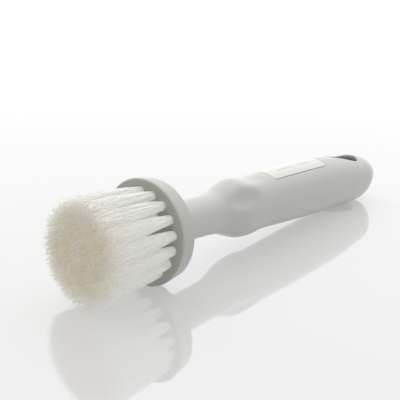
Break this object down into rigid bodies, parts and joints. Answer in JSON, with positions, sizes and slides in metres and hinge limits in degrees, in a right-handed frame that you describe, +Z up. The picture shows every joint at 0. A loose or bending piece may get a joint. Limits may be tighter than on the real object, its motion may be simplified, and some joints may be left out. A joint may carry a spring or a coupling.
{
  "type": "wheel brush",
  "caption": "Round wheel-cleaning brush with a disc head of folded bristle tufts and a contoured hollow grip with a hanging hole.",
  "frame": {"origin": "middle of the lying brush's footprint, on the surface it rests on", "axes": "+X from the bristle tips towards the end of the grip, tipped down a little by the rest pose; +Y across; +Z up, the label side"},
  "size_m": [0.271, 0.058, 0.0579],
  "materials": {
    "grip_plastic": "satin moulded, pale grey",
    "block_plastic": "satin moulded, pale grey",
    "label_film": "smooth film, off-white",
    "bristle": "fine filaments, white with stained cream tips",
    "anchor_metal": "plated strip"
  },
  "bodies": {
    "root": {"anchor_inner_01": "anchor_metal", "anchor_inner_02": "anchor_metal", "anchor_inner_03": "anchor_metal", "anchor_middle_01": "anchor_metal", "anchor_middle_02": "anchor_metal", "anchor_middle_03": "anchor_metal", "anchor_middle_04": "anchor_metal", "anchor_middle_05": "anchor_metal", "anchor_middle_06": "anchor_metal", "anchor_middle_07": "anchor_metal", "anchor_middle_08": "anchor_metal", "anchor_outer_01": "anchor_metal", "anchor_outer_02": "anchor_metal", "anchor_outer_03": "anchor_metal", "anchor_outer_04": "anchor_metal", "anchor_outer_05": "anchor_metal", "anchor_outer_06": "anchor_metal", "anchor_outer_07": "anchor_metal", "anchor_outer_08": "anchor_metal", "anchor_outer_09": "anchor_metal", "anchor_outer_10": "anchor_metal", "anchor_outer_11": "anchor_metal", "anchor_outer_12": "anchor_metal", "anchor_outer_13": "anchor_metal", "anchor_outer_14": "anchor_metal", "anchor_outer_15": "anchor_metal", "anchor_outer_16": "anchor_metal", "anchor_outer_17": "anchor_metal", "handle": "grip_plastic", "label_plate": "label_film", "tuft_block": "block_plastic", "tuft_inner_01": "bristle", "tuft_inner_02": "bristle", "tuft_inner_03": "bristle", "tuft_middle_01": "bristle", "tuft_middle_02": "bristle", "tuft_middle_03": "bristle", "tuft_middle_04": "bristle", "tuft_middle_05": "bristle", "tuft_middle_06": "bristle", "tuft_middle_07": "bristle", "tuft_middle_08": "bristle", "tuft_outer_01": "bristle", "tuft_outer_02": "bristle", "tuft_outer_03": "bristle", "tuft_outer_04": "bristle", "tuft_outer_05": "bristle", "tuft_outer_06": "bristle", "tuft_outer_07": "bristle", "tuft_outer_08": "bristle", "tuft_outer_09": "bristle", "tuft_outer_10": "bristle", "tuft_outer_11": "bristle", "tuft_outer_12": "bristle", "tuft_outer_13": "bristle", "tuft_outer_14": "bristle", "tuft_outer_15": "bristle", "tuft_outer_16": "bristle", "tuft_outer_17": "bristle"}
  },
  "joints": []
}
